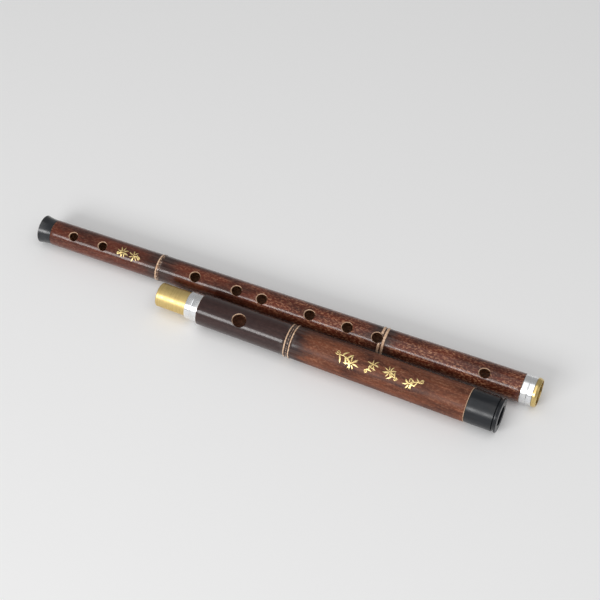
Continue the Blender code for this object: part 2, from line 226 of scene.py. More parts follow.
def drilled_tube(name, outside, bore, holes, rubbing, seed):
    """A closed tube in a section's own frame. Each wall is a grid of rows and
    columns; round each hole a patch of it is meshed to the hole's outline, and
    an eased rim and a straight wall join the two patches. RIM_PROFILE holds
    (width left, drop, bare) down the rim, WALL_PROFILE (depth, bare) below it."""
    shape = bmesh.new()
    bare_layer = shape.verts.layers.float.new("bare")
    columns = TUBE_FACETS
    step = math.tau / columns

    def new_point(place, bare):
        point = shape.verts.new(place)
        point[bare_layer] = bare
        return point

    def new_face(points, finish):
        shape.faces.new(points).material_index = finish

    def join(upper, lower, finish):
        """A band of faces between two rings of points."""
        for k in range(len(upper)):
            after = (k + 1) % len(upper)
            new_face((upper[k], upper[after], lower[after], lower[k]), finish)

    def wall(rows, is_outside):
        """The whole wall but for its holes, with the ring of points round each."""
        finish = SKIN if is_outside else BORE_WALL
        patches = []
        for place, half_length, half_width, side in holes:
            margin = RIM_WIDTH + PATCH_MARGIN
            first = max(i for i, row in enumerate(rows) if row[0] <= place - half_length - margin)
            last = min(i for i, row in enumerate(rows) if row[0] >= place + half_length + margin)
            reach = math.ceil((half_width + margin) / rows[first][1] / step)
            middle = 0 if side > 0 else columns // 2
            patches.append((first, last, middle, reach))
        grid = {}

        def corner(i, j):
            key = (i, j % columns)
            if key not in grid:
                x, radius, bare, drift = rows[i]
                angle = key[1] * step
                if is_outside:
                    radius += bamboo_swell(x, angle, seed)
                    x += drift * node_drift(angle, seed)
                grid[key] = new_point(on_tube(x, radius, angle), bare)
            return grid[key]

        cut = set()
        for first, last, middle, reach in patches:
            for i in range(first, last):
                for j in range(-reach, reach):
                    cut.add((i, (middle + j) % columns))
        for i in range(len(rows) - 1):
            for j in range(columns):
                if (i, j) not in cut:
                    new_face((corner(i, j), corner(i, j + 1), corner(i + 1, j + 1), corner(i + 1, j)), finish)
        rings = {}
        for hole, patch in zip(holes, patches):
            rings[hole] = fill_patch(rows, is_outside, hole, patch, corner)
        return rings, grid

    def outline(hole, grow, rows, is_outside):
        """Points round a hole on a wall, each as (x, angle, radius)."""
        place, half_length, half_width, side = hole
        placed = []
        for index in range(HOLE_POINTS):
            turn = math.tau * index / HOLE_POINTS
            x = place + (half_length + grow) * math.cos(turn)
            across = (half_width + grow) * math.sin(turn)
            radius = row_radius(rows, x)
            angle = math.asin(across / radius) + (0.0 if side > 0 else math.pi)
            if is_outside:
                radius += bamboo_swell(x, angle, seed)
            placed.append((x, angle, radius))
        return placed

    def fill_patch(rows, is_outside, hole, patch, corner):
        """Faces between a hole's outline and the edge of its patch of the grid."""
        first, last, middle, reach = patch
        place, half_length, half_width, _ = hole
        grow = RIM_WIDTH if is_outside else 0.0
        long_reach = half_length + grow
        wide_reach = half_width + grow
        flat_radius = rows[first][1]
        points = []
        flat = []
        kept = {}
        for i in range(first, last + 1):
            for j in range(-reach, reach + 1):
                along = rows[i][0] - place
                around = j * step * flat_radius
                edge = i in (first, last) or j in (-reach, reach)
                room = math.hypot(along / (long_reach + OUTLINE_ROOM), around / (wide_reach + OUTLINE_ROOM))
                if edge or room > 1.0:
                    kept[(i, j)] = len(points)
                    points.append(corner(i, middle + j))
                    flat.append(Vector((along, around)))
        border = [kept[(i, -reach)] for i in range(first, last)]
        border += [kept[(last, j)] for j in range(-reach, reach)]
        border += [kept[(i, reach)] for i in range(last, first, -1)]
        border += [kept[(first, j)] for j in range(reach, -reach, -1)]
        ring = []
        ring_start = len(points)
        for x, angle, radius in outline(hole, grow, rows, is_outside):
            ring.append(new_point(on_tube(x, radius, angle), 0.0))
            points.append(ring[-1])
            flat.append(Vector((x - place, (angle - middle * step) * flat_radius)))
        inner = list(range(ring_start, len(points)))
        edges = [pair for loop in (border, inner) for pair in zip(loop, loop[1:] + loop[:1])]
        places, _, faces, origins, _, _ = geometry.delaunay_2d_cdt(flat, edges, [], 0, 1e-9)
        for face in faces:
            centre = sum((places[k] for k in face), Vector((0.0, 0.0))) / len(face)
            inside = math.hypot(centre.x / long_reach, centre.y / wide_reach)
            used = [points[origins[k][0]] for k in face]
            if inside > 0.995 or not all(origins[k][0] >= ring_start for k in face):
                new_face(used, SKIN if is_outside else BORE_WALL)
        return ring

    outer_rings, outer_grid = wall(outside, True)
    bore_rings, bore_grid = wall(bore, False)
    for i, k in ((0, 0), (len(outside) - 1, len(bore) - 1)):
        outer_end = [outer_grid[(i, j)] for j in range(columns)]
        join(outer_end, [bore_grid[(k, j)] for j in range(columns)], HOLE_WALL)
    for hole in holes:
        side = hole[3]
        rings = [outer_rings[hole]]
        for grow_share, drop_share, bare in RIM_PROFILE:
            ring = []
            for k, (x, angle, radius) in enumerate(outline(hole, RIM_WIDTH * grow_share, outside, True)):
                height = radius * abs(math.cos(angle)) - RIM_DROP * drop_share
                # The rim's own scraped paleness, plus a painted highlight that makes its upper-left side
                # paler still.
                bare_and_painted_highlight = rubbing + PAINTED_HIGHLIGHT_SWING * math.cos(math.tau * k / HOLE_POINTS - PAINTED_HIGHLIGHT_TURN)
                ring.append(new_point((x, radius * math.sin(angle), side * height), bare * bare_and_painted_highlight))
            rings.append(ring)
        wall_top = rings[-1]
        wall_foot = bore_rings[hole]
        for share, bare in WALL_PROFILE:
            rings.append([
                new_point(top.co.lerp(foot.co, share), bare * top[bare_layer])
                for top, foot in zip(wall_top, wall_foot)])
        rings.append(wall_foot)
        for depth, (upper, lower) in enumerate(zip(rings, rings[1:])):
            join(upper, lower, SKIN if depth < len(RIM_PROFILE) else HOLE_WALL)
    return closed_mesh(name, shape)


def settle(name, mesh, section, finishes):
    """Put a mesh in its place on the flute and give it its finishes."""
    mesh.transform(section)
    for finish in finishes:
        mesh.materials.append(finish)
    mesh.shade_smooth()
    mesh.set_sharp_from_angle(angle=SHARP_ANGLE)
    return put_in_scene(name, mesh)


def add(tree, kind, inputs=None, **settings):
    """One node. The inputs are values, or the sockets that feed them."""
    made = tree.nodes.new(kind)
    for key, value in settings.items():
        setattr(made, key, value)
    for key, value in (inputs or {}).items():
        if isinstance(value, bpy.types.NodeSocket):
            tree.links.new(value, made.inputs[key])
        else:
            made.inputs[key].default_value = value
    return made


def new_finish(name, **constants):
    """A material whose Principled BSDF starts from the given constant values."""
    finish = bpy.data.materials.new(name)
    finish.use_nodes = True
    shader = finish.node_tree.nodes["Principled BSDF"]
    for key, value in constants.items():
        shader.inputs[key.replace("_", " ")].default_value = value
    return finish, finish.node_tree, shader


def along_section(tree, section):
    """Object coordinates, turned into the section's own: X along, +Z at the holes."""
    coordinates = add(tree, "ShaderNodeTexCoord")
    inputs = {
        "Vector": coordinates.outputs["Object"],
        "Location": section.to_translation(), "Rotation": section.to_euler(),
    }
    return add(tree, "ShaderNodeMapping", inputs, vector_type="TEXTURE").outputs["Vector"]


def feed(tree, node, **sockets):
    """Link sockets to a node's inputs, which are named with underscores."""
    for key, socket in sockets.items():
        tree.links.new(socket, node.inputs[key.replace("_", " ")])


def mix_colour(tree, amount, first, second, blend="MIX"):
    """A blend of two colours, each a value or a socket."""
    inputs = {0: amount, 6: first, 7: second}
    return add(tree, "ShaderNodeMix", inputs, data_type="RGBA", blend_type=blend).outputs[2]


def graded(tree, value, low, high, to_low=0.0, to_high=1.0):
    """A value taken smoothly from one range to another."""
    inputs = {"Value": value, "From Min": low, "From Max": high, "To Min": to_low, "To Max": to_high}
    return add(tree, "ShaderNodeMapRange", inputs, interpolation_type="SMOOTHSTEP").outputs["Result"]


def combined(tree, first, second, operation="MULTIPLY"):
    return add(tree, "ShaderNodeMath", {0: first, 1: second}, operation=operation).outputs[0]


def stretched_noise(tree, vector, along, across, detail=3.0, roughness=0.6, offset=0.0):
    """Noise with its own grain along the flute and across it, per metre."""
    inputs = {"Vector": vector, "Scale": (along, across, across), "Location": (offset, offset, offset)}
    stretch = add(tree, "ShaderNodeMapping", inputs).outputs["Vector"]
    inputs = {"Vector": stretch, "Scale": 1.0, "Detail": detail, "Roughness": roughness}
    return add(tree, "ShaderNodeTexNoise", inputs).outputs["Fac"]


def relief(tree, shader, height, strength, depth):
    """Fine relief of a surface, from a height that changes over it."""
    bump = add(tree, "ShaderNodeBump", {"Height": height, "Strength": strength, "Distance": depth})
    feed(tree, shader, Normal=bump.outputs["Normal"])


def name_sockets(group, in_out, kind, *names):
    """Inputs or outputs of a node group, all of one kind."""
    for name in names:
        group.interface.new_socket(name, in_out=in_out, socket_type="NodeSocket" + kind)


def make_bamboo_skin():
    """Node group: the colour and relief of dark stained bamboo. Dark is the deep
    colour, Warm the clear brown, Fleck the pale flecks, Smoke the dark bloom."""
    group = bpy.data.node_groups.new("bamboo_skin", "ShaderNodeTree")
    name_sockets(group, "INPUT", "Vector", "Vector")
    name_sockets(group, "INPUT", "Color", "Dark", "Warm", "Fleck", "Smoke")
    name_sockets(group, "INPUT", "Float", "Fleck Amount", "Smoke Amount", "Warmth")
    name_sockets(group, "OUTPUT", "Color", "Color")
    name_sockets(group, "OUTPUT", "Float", "Height", "Gloss")
    given = add(group, "NodeGroupInput").outputs

    def grain(*sizes):
        return stretched_noise(group, given["Vector"], *sizes)

    clouds = grain(34, 120, 5.0, 0.66)
    warmth = combined(group, graded(group, clouds, 0.30, 0.62, 0.2, 1.0), given["Warmth"])
    colour = mix_colour(group, warmth, given["Dark"], given["Warm"])
    dashes = grain(420, 1900, 2.0, 0.5, 23.0)
    colour = mix_colour(group, graded(group, dashes, 0.58, 0.70, 0.0, 0.4), colour, given["Dark"])

    mottles = grain(480, 880, 4.0, 0.6, 11.0)
    patches = grain(26, 95, 3.0, 0.6, 17.0)
    specks = grain(1300, 2300, 2.0, 0.6, 41.0)
    threads = grain(150, 2600, 3.0, 0.6, 53.0)
    fleck = given["Fleck Amount"]
    for pattern, low, high, least in (
            (mottles, 0.48, 0.60, 0.0), (patches, 0.34, 0.58, 0.5),
            (specks, 0.40, 0.60, 0.4), (threads, 0.38, 0.58, 0.45)):
        fleck = combined(group, fleck, graded(group, pattern, low, high, least))
    tawny = mix_colour(group, 0.5, given["Fleck"], given["Warm"])
    fleck_colour = mix_colour(group, graded(group, clouds, 0.4, 0.62), tawny, given["Fleck"])
    colour = mix_colour(group, fleck, colour, fleck_colour)

    streaks = grain(18, 460, 3.0, 0.6, 7.0)
    bloom = grain(45, 330, 4.0, 0.62, 29.0)
    smoke = combined(group, graded(group, bloom, 0.30, 0.55, 0.5, 1.0), given["Smoke Amount"])
    smoke_colour = mix_colour(group, graded(group, streaks, 0.36, 0.64), given["Dark"], given["Smoke"])
    colour = mix_colour(group, smoke, colour, smoke_colour)

    fibres = grain(36, 1700, 3.0, 0.65, 3.0)
    shade = combined(
        group, graded(group, fibres, 0.3, 0.7, 0.82, 1.16), graded(group, streaks, 0.34, 0.66, 0.87, 1.1))
    grey = add(group, "ShaderNodeCombineColor", {"Red": shade, "Green": shade, "Blue": shade})
    colour = mix_colour(group, 1.0, colour, grey.outputs[0], "MULTIPLY")
    height = combined(group, fibres, combined(group, streaks, 0.8), "ADD")
    gloss = graded(group, mottles, 0.3, 0.7)
    feed(group, add(group, "NodeGroupOutput"), Color=colour, Height=height, Gloss=gloss)
    return group


def make_scraped_wood():
    """Node group: how far the skin is scraped away, in ragged patches where the
    mesh is marked bare, and the colour of the wood that shows there."""
    group = bpy.data.node_groups.new("scraped_wood", "ShaderNodeTree")
    name_sockets(group, "INPUT", "Vector", "Vector")
    name_sockets(group, "INPUT", "Float", "Bare")
    name_sockets(group, "OUTPUT", "Float", "Amount")
    name_sockets(group, "OUTPUT", "Color", "Wood")
    given = add(group, "NodeGroupInput").outputs
    grain = stretched_noise(group, given["Vector"], 750, 1100, 3.0, 0.65, 5.0)
    ragged = combined(group, given["Bare"], combined(group, grain, 1.6), "ADD")
    fibre = stretched_noise(group, given["Vector"], 200, 1500, 2.0, 0.6, 8.0)
    wood = mix_colour(group, graded(group, fibre, 0.3, 0.7), (0.50, 0.29, 0.17, 1), (0.86, 0.63, 0.45, 1))
    feed(group, add(group, "NodeGroupOutput"), Amount=graded(group, ragged, 1.12, 1.5), Wood=wood)
    return group


bamboo_skin = make_bamboo_skin()
scraped_wood = make_scraped_wood()


def bared(tree, vector, colour):
    """How bare the mesh is marked, and the colour with scraped wood laid in it."""
    bare = add(tree, "ShaderNodeAttribute", attribute_name="bare").outputs["Fac"]
    scraped = add(tree, "ShaderNodeGroup", {"Vector": vector, "Bare": bare}, node_tree=scraped_wood).outputs
    return bare, mix_colour(tree, scraped["Amount"], colour, scraped["Wood"])


def near_nodes(tree, place_along, nodes):
    """1 beside a node, falling to 0 a few centimetres away: mostly above it."""
    total = None
    for node_place, below, above in nodes:
        rise = graded(tree, place_along, node_place - below, node_place - 1.5 * MM)
        fall = graded(tree, place_along, node_place + 0.25 * above, node_place + above, 1.0, 0.0)
        amount = combined(tree, rise, fall)
        total = amount if total is None else combined(tree, total, amount, "MAXIMUM")
    return total


def bamboo_finish(name, section, colours, nodes, warmth, flecks, coat, satin):
    """Lacquered bamboo for one section. Warmth, flecks and coat are each given as
    (place, share) before and after a stretch of the section."""
    finish, tree, shader = new_finish(name, Coat_Roughness=0.15, Coat_IOR=1.45, Specular_IOR_Level=satin)
    vector = along_section(tree, section)
    exact_place = add(tree, "ShaderNodeSeparateXYZ", {"Vector": vector}).outputs["X"]
    stray = combined(tree, stretched_noise(tree, vector, 70, 260, 4.0, 0.7, 37.0), 0.5, "SUBTRACT")
    place_along = combined(tree, exact_place, combined(tree, stray, ZONE_STRAY), "ADD")
    skin = add(tree, "ShaderNodeGroup", {"Vector": vector}, node_tree=bamboo_skin)
    for key, value in zip(("Dark", "Warm", "Fleck", "Smoke"), colours):
        skin.inputs[key].default_value = (*value, 1.0)
    shares = []
    for (low, low_share), (high, high_share) in (warmth, flecks, coat):
        shares.append(graded(tree, place_along, low, high, low_share, high_share))
    smoke = near_nodes(tree, place_along, nodes)
    feed(tree, skin, Warmth=shares[0], Fleck_Amount=shares[1], Smoke_Amount=smoke)
    bare, colour = bared(tree, vector, skin.outputs["Color"])
    rough = graded(tree, skin.outputs["Gloss"], 0.0, 1.0, 0.36, 0.50)
    thin = combined(tree, shares[2], graded(tree, bare, 0.0, 1.0, 1.0, 0.3))
    thin = combined(tree, thin, graded(tree, skin.outputs["Gloss"], 0.0, 1.0, 0.7, 1.15))
    feed(tree, shader, Base_Color=colour, Roughness=rough, Coat_Weight=thin)
    relief(tree, shader, skin.outputs["Height"], 0.2, 0.04 * MM)
    return finish


def cut_bamboo_finish(name, section, dark, pale, roughness):
    """Bamboo cut across its grain and stained: hole walls, pale at their rims,
    and bores."""
    finish, tree, shader = new_finish(name, Specular_IOR_Level=0.3)
    vector = along_section(tree, section)
    grain = stretched_noise(tree, vector, 500, 900, 4.0, 0.6, 2.0)
    stained = mix_colour(tree, graded(tree, grain, 0.3, 0.7), (*dark, 1), (*pale, 1))
    _, colour = bared(tree, vector, stained)
    rough = graded(tree, grain, 0.3, 0.7, roughness - 0.1, roughness + 0.1)
    feed(tree, shader, Base_Color=colour, Roughness=rough)
    relief(tree, shader, grain, 0.4, 0.05 * MM)
    return finish


def body_radius(x):
    share = (x - BODY_START) / (BODY_BAMBOO_END - BODY_START)
    return part_way(BODY_FOOT_RADIUS, BODY_SOCKET_RADIUS, share)


def body_ridge(place, width, bare, drift):
    radius = body_radius(place)
    return node_ridge(place, radius, radius, BODY_NODE_HEIGHT, width, bare, drift)


half_pitch = UPPER_NODE_PITCH / 2
lower_bare = (0.2, 1, 1, 0.45, 0.4, 0.42, 0.38, 0.35, 0.3, 0)
lower_ridge = body_ridge(LOWER_NODE, 4.2 * MM, lower_bare, 0.7 * MM)
upper_ridges = body_ridge(UPPER_NODE - half_pitch, NODE_WIDTH, (0, 0.9, 1, 1, 0.8, 0), 1.2 * MM)
upper_ridges += body_ridge(UPPER_NODE + half_pitch, NODE_WIDTH, (0, 0.9, 1, 1, 0.9, 0), 1.2 * MM)
foot_edge = eased_edge(BODY_START, BODY_FOOT_RADIUS, 0.3 * MM, -1, 0.4)
bamboo_edge = eased_edge(BODY_BAMBOO_END, BODY_SOCKET_RADIUS, 0.3 * MM, 1, 0.4)
spigot_start = BODY_START - BODY_SPIGOT_LENGTH
body_outside = plain_rows((spigot_start, BODY_SPIGOT), (BODY_START, BODY_SPIGOT)) + foot_edge
for run in (lower_ridge, upper_ridges, bamboo_edge):
    body_outside += straight(body_outside[-1], run[0])[1:] + run
body_outside += plain_rows((BODY_BAMBOO_END, BODY_SLEEVE), (BODY_TUBE_END, BODY_SLEEVE))
counterbore_start = BODY_TUBE_END - COUNTERBORE_DEPTH
body_bore = straight((spigot_start, BODY_BORE), (counterbore_start, BODY_BORE))
body_bore += plain_rows(
    (counterbore_start, BODY_BORE), (counterbore_start, SOCKET_COUNTERBORE),
    (BODY_TUBE_END, SOCKET_COUNTERBORE))


def hole_at(place, size, side=1):
    return (place, size[0] / 2, size[1] / 2, side)


body_holes = [hole_at(place, VENT_SIZE) for place in VENTS]
body_holes += [hole_at(place, FINGER_SIZE) for place in FINGER_HOLES]
body_holes += [hole_at(place, BACK_VENT_SIZE, -1) for place in BACK_VENTS]
body_holes += [hole_at(MEMBRANE_HOLE, MEMBRANE_SIZE)]

body_bamboo = bamboo_finish(
    "body_lacquered_bamboo", body_section,
    ((0.030, 0.008, 0.005), (0.132, 0.026, 0.011), (0.70, 0.34, 0.18), (0.052, 0.031, 0.026)),
    nodes=((LOWER_NODE, 22 * MM, 18 * MM), (UPPER_NODE, 20 * MM, 13 * MM)),
    warmth=((60 * MM, 0.85), (300 * MM, 1.0)), flecks=((90 * MM, 0.2), (300 * MM, 0.8)),
    coat=((100 * MM, 0.9), (330 * MM, 0.75)), satin=0.1)
body_cut = cut_bamboo_finish(
    "body_hole_walls", body_section, (0.090, 0.038, 0.018), (0.230, 0.105, 0.050), 0.55)
body_bore_stain = cut_bamboo_finish(
    "body_bore_stain", body_section, (0.20, 0.082, 0.038), (0.38, 0.175, 0.085), 0.5)

body_mesh = drilled_tube("body_bamboo", body_outside, body_bore, body_holes, rubbing=0.62, seed=4.0)
body_bamboo_piece = settle("body_bamboo", body_mesh, body_section, (body_bamboo, body_cut, body_bore_stain))
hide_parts("body_tube")
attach(body_bamboo_piece, "body_section")

# Horn ring on the foot. Black horn turned to a waist and a flared lip, glued
# over a spigot of the bamboo and polished.
FOOT_RING_WAIST = 9.7 * MM
FOOT_LIP = 10.95 * MM
FOOT_RING_SEAT = 4.2 * MM
FLARE_POINTS = 14
GLUE_ROOM = 0.1 * MM
TURNED_FACETS = 144
DEGREES_PER_STEP = 18.0
ROUNDING_LEAD = 0.04 * MM


def soft_outline(corners):
    """A closed outline with each corner rounded to its own radius. The corners
    are (x, radius, rounding), outside from high x to low, then the bore back."""
    outline = []
    count = len(corners)
    for index, (x, radius, rounding) in enumerate(corners):
        here = Vector((x, radius))
        before = Vector(corners[index - 1][:2])
        after = Vector(corners[(index + 1) % count][:2])
        back = before - here
        on = after - here
        back_length = back.length
        on_length = on.length
        back.normalize()
        on.normalize()
        turn = math.pi - back.angle(on)
        if rounding <= 0.0 or turn < math.radians(4.0):
            outline.append(here)
            continue
        reach = min(rounding * math.tan(turn / 2), 0.48 * back_length, 0.48 * on_length)
        radius_here = reach / math.tan(turn / 2)
        centre = here + (back + on).normalized() * (radius_here / math.cos(turn / 2))
        start = here + back * reach
        steps = max(2, math.ceil(math.degrees(turn) / DEGREES_PER_STEP))
        outline.append(start + back * min(ROUNDING_LEAD, 0.3 * (back_length - reach)))
        spoke = start - centre
        sign = 1.0 if spoke.x * on.y - spoke.y * on.x > 0 else -1.0
        for step_index in range(steps + 1):
            swing = Matrix.Rotation(sign * turn * step_index / steps, 2)
            outline.append(centre + swing @ spoke)
        outline.append(here + on * (reach + min(ROUNDING_LEAD, 0.3 * (on_length - reach))))
    return [(point.x, point.y) for point in outline]


def turned(name, corners, section, finish, solid=False):
    """A ring turned about the section's axis from its rounded outline, or a
    solid, whose outline starts and ends on the axis, put in its place."""
    outline = soft_outline(corners)
    if solid:
        outline = outline[1:-1]
    shape = bmesh.new()
    rows = []
    for k in range(TURNED_FACETS):
        angle = math.tau * k / TURNED_FACETS
        rows.append([shape.verts.new(on_tube(x, radius, angle)) for x, radius in outline])
    ends = [shape.verts.new((outline[index][0], 0.0, 0.0)) for index in ((0, -1) if solid else ())]
    for k, row in enumerate(rows):
        following = rows[(k + 1) % TURNED_FACETS]
        if solid:
            shape.faces.new((ends[0], row[0], following[0]))
            shape.faces.new((ends[1], following[-1], row[-1]))
        for index in range(len(outline) - solid):
            after = (index + 1) % len(outline)
            shape.faces.new((row[index], row[after], following[after], following[index]))
    bmesh.ops.remove_doubles(shape, verts=shape.verts, dist=0.001 * MM)
    return settle(name, closed_mesh(name, shape), section, (finish,))


def make_lathe_lines():
    """Node group: the fine rings that a lathe tool and polishing leave, and the
    softer haze of handling. The rings run on over the end faces, round the axis."""
    group = bpy.data.node_groups.new("lathe_lines", "ShaderNodeTree")
    name_sockets(group, "INPUT", "Vector", "Vector")
    name_sockets(group, "INPUT", "Float", "Fineness")
    name_sockets(group, "OUTPUT", "Float", "Rings", "Haze")
    inside = add(group, "NodeGroupInput").outputs
    parted = add(group, "ShaderNodeSeparateXYZ", {"Vector": inside["Vector"]}).outputs
    spoke = add(group, "ShaderNodeCombineXYZ", {"Y": parted["Y"], "Z": parted["Z"]}).outputs[0]
    reach = add(group, "ShaderNodeVectorMath", {0: spoke}, operation="LENGTH").outputs["Value"]
    fine = combined(group, combined(group, parted["X"], reach, "ADD"), inside["Fineness"])
    around = combined(group, parted["Y"], 40.0)
    upward = combined(group, parted["Z"], 40.0)
    spun = add(group, "ShaderNodeCombineXYZ", {"X": fine, "Y": around, "Z": upward}).outputs[0]
    rings = stretched_noise(group, spun, 1.0, 1.0, 3.0, 0.7)
    haze = stretched_noise(group, inside["Vector"], 210.0, 210.0, 5.0, 0.6)
    feed(group, add(group, "NodeGroupOutput"), Rings=rings, Haze=haze)
    return group


lathe_lines = make_lathe_lines()


def lathe_marks(tree, vector, fineness):
    """The rings and the haze that a material is given, each from 0 to 1."""
    marks = add(tree, "ShaderNodeGroup", {"Vector": vector, "Fineness": fineness}, node_tree=lathe_lines)
    return marks.outputs["Rings"], marks.outputs["Haze"]


def horn_finish(name, section, specular, coat):
    """Black buffalo horn: near black, with grey-brown bands of growth along it,
    polished, with faint turning lines under the polish."""
    finish, tree, shader = new_finish(name, Coat_Roughness=0.24, Coat_IOR=1.5, Specular_IOR_Level=specular)
    vector = along_section(tree, section)
    growth = stretched_noise(tree, vector, 60, 420, 4.0, 0.65, 1.0)
    clouds = stretched_noise(tree, vector, 90, 130, 3.0, 0.6, 9.0)
    rings, haze = lathe_marks(tree, vector, 5200.0)
    bands = graded(tree, growth, 0.35, 0.75)
    colour = mix_colour(tree, bands, (0.0060, 0.0075, 0.0105, 1), (0.012, 0.014, 0.018, 1))
    colour = mix_colour(tree, graded(tree, clouds, 0.55, 0.8, 0.0, 0.5), colour, (0.026, 0.023, 0.022, 1))
    rough = graded(tree, haze, 0.3, 0.7, 0.28, 0.40)
    polish = graded(tree, haze, 0.35, 0.65, coat, 0.7 * coat)
    feed(tree, shader, Base_Color=colour, Roughness=rough, Coat_Weight=polish)
    relief(tree, shader, rings, 0.25, 0.02 * MM)
    return finish


foot_horn = horn_finish("foot_horn", body_section, 0.25, 1.0)
foot_corners = [(FOOT_RING_END, FOOT_RING_WAIST, 0.15 * MM)]
for index in range(FLARE_POINTS - 1, 0, -1):
    share = index / FLARE_POINTS
    flare = (FOOT_LIP - FOOT_RING_WAIST) * (1 - share) ** 2
    foot_corners.append((FOOT_RING_END * share, FOOT_RING_WAIST + flare, 0.0))
foot_corners += [(0.0, FOOT_LIP, 0.45 * MM), (0.0, BODY_BORE, 0.5 * MM)]
foot_corners += [(FOOT_RING_SEAT, BODY_BORE, 0.0), (FOOT_RING_SEAT, BODY_SPIGOT + GLUE_ROOM, 0.0)]
foot_corners += [(FOOT_RING_END, BODY_SPIGOT + GLUE_ROOM, 0.0)]
foot_ring = turned("foot_ring_horn", foot_corners, body_section, foot_horn)
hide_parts("body_foot_ring")
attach(foot_ring, "body_section")

# Ferrule at the socket end. Nickel silver spun into two crowned bands with a
# groove between them, polished to a mirror, slipped over the bamboo's sleeve.
FERRULE_START = 394.6 * MM
FERRULE_END = 403.6 * MM
FERRULE_BORE = 10.25 * MM
BAND_RADIUS = 10.65 * MM
BAND_EDGE = 0.3 * MM
BAND_CROWN = 0.05 * MM
GROOVE_DEPTH = 0.22 * MM
GROOVE_HALF = 0.45 * MM
GROOVE_FLOOR_HALF = 0.12 * MM


def banded_corners(start, end, bore):
    """Two crowned bands and the groove between them, as a closed outline."""
    middle = (start + end) / 2
    half = (end - start) / 2
    low = BAND_RADIUS - GROOVE_DEPTH
    high = BAND_RADIUS - BAND_CROWN
    band = [
        (half, low, 0.10 * MM), (half - BAND_EDGE, high, 0.25 * MM),
        ((half + GROOVE_HALF - BAND_EDGE) / 2, BAND_RADIUS, 6.0 * MM),
        (GROOVE_HALF, high, 0.25 * MM), (GROOVE_FLOOR_HALF, low, 0.08 * MM),
    ]
    corners = [(middle + x, radius, rounding) for x, radius, rounding in band]
    corners += [(middle - x, radius, rounding) for x, radius, rounding in reversed(band)]
    return corners + bore


def silver_finish(name, section):
    """Polished nickel silver, with hairline turning marks and thumbed haze."""
    finish, tree, shader = new_finish(name, Metallic=1.0)
    vector = along_section(tree, section)
    rings, haze = lathe_marks(tree, vector, 9000.0)
    tint = graded(tree, haze, 0.35, 0.75)
    colour = mix_colour(tree, tint, (0.93, 0.94, 0.96, 1), (0.82, 0.82, 0.81, 1))
    rough = graded(tree, haze, 0.3, 0.7, 0.22, 0.32)
    feed(tree, shader, Base_Color=colour, Roughness=rough)
    relief(tree, shader, rings, 0.12, 0.006 * MM)
    return finish


ferrule_silver = silver_finish("ferrule_nickel_silver", body_section)
ferrule_corners = banded_corners(
    FERRULE_START, FERRULE_END, [(FERRULE_START, FERRULE_BORE, 0.0), (FERRULE_END, FERRULE_BORE, 0.0)])
ferrule = turned("ferrule_bands", ferrule_corners, body_section, ferrule_silver)
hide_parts("body_ferrule")
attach(ferrule, "body_section")

# Socket liner. A brass tube lines the socket; its turned flange closes the end
# of the bamboo, with a flat rim and a bevel down to the mouth.
LINER_START = 380.8 * MM
SOCKET_END = 407.2 * MM
FLANGE_START = 403.8 * MM
FLANGE_RIM_END = 405.4 * MM
LINER_BORE = 9.25 * MM
LINER_RADIUS = 9.65 * MM
FLANGE_RADIUS = 10.95 * MM
MOUTH_FACE = 10.15 * MM


def brass_finish(name, section, fineness, roughness, ring_depth):
    """Turned brass left satin: bright rings of the tool, browner tarnish in
    patches, and duller where fingers and the socket rub it."""
    finish, tree, shader = new_finish(name, Metallic=1.0)
    vector = along_section(tree, section)
    rings, haze = lathe_marks(tree, vector, fineness)
    patina = stretched_noise(tree, vector, 120, 160, 5.0, 0.65, 13.0)
    bright = graded(tree, rings, 0.3, 0.7)
    colour = mix_colour(tree, bright, (0.67, 0.49, 0.19, 1), (0.84, 0.65, 0.29, 1))
    colour = mix_colour(tree, graded(tree, patina, 0.50, 0.78, 0.0, 0.4), colour, (0.42, 0.28, 0.10, 1))
    dull = graded(tree, haze, 0.3, 0.7, roughness - 0.06, roughness + 0.08)
    feed(tree, shader, Base_Color=colour, Roughness=dull)
    relief(tree, shader, rings, 0.3, ring_depth)
    return finish


liner_brass = brass_finish("socket_brass", body_section, 5200.0, 0.28, 0.006 * MM)
liner_corners = [
    (SOCKET_END, MOUTH_FACE, 0.15 * MM), (FLANGE_RIM_END, FLANGE_RADIUS, 0.18 * MM),
    (FLANGE_START, FLANGE_RADIUS, 0.15 * MM), (FLANGE_START, LINER_RADIUS, 0.0),
    (LINER_START, LINER_RADIUS, 0.0), (LINER_START, LINER_BORE, 0.1 * MM),
    (SOCKET_END, LINER_BORE, 0.25 * MM),
]
socket_liner = turned("socket_liner_brass", liner_corners, body_section, liner_brass)
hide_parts("body_socket_liner")
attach(socket_liner, "body_section")

# Bamboo of the short section. Plainer and darker as far as its double node,
# then thicker, warmer and rubbed satin where the hand carries it.
HEAD_RADIUS = 12.0 * MM
HEAD_NODE_RADIUS = 12.3 * MM
HEAD_FAR_RADIUS = 12.95 * MM
HEAD_BORE = 8.2 * MM
HEAD_START = 35.3 * MM
HEAD_END = 248.6 * MM
HEAD_TUBE_START = 26.1 * MM
HEAD_TUBE_END = 257.8 * MM
HEAD_SLEEVE = 10.15 * MM
CAP_SPIGOT = 10.4 * MM
TENON_COUNTERBORE = 9.3 * MM
TENON_SEAT = 50.1 * MM
HEAD_NODE = 108.2 * MM
HEAD_NODE_PITCH = 3.9 * MM
HEAD_RIDGE_HEIGHT = 0.75 * MM
BLOW_HOLE = 69.3 * MM
BLOW_SIZE = (10.6 * MM, 9.6 * MM)

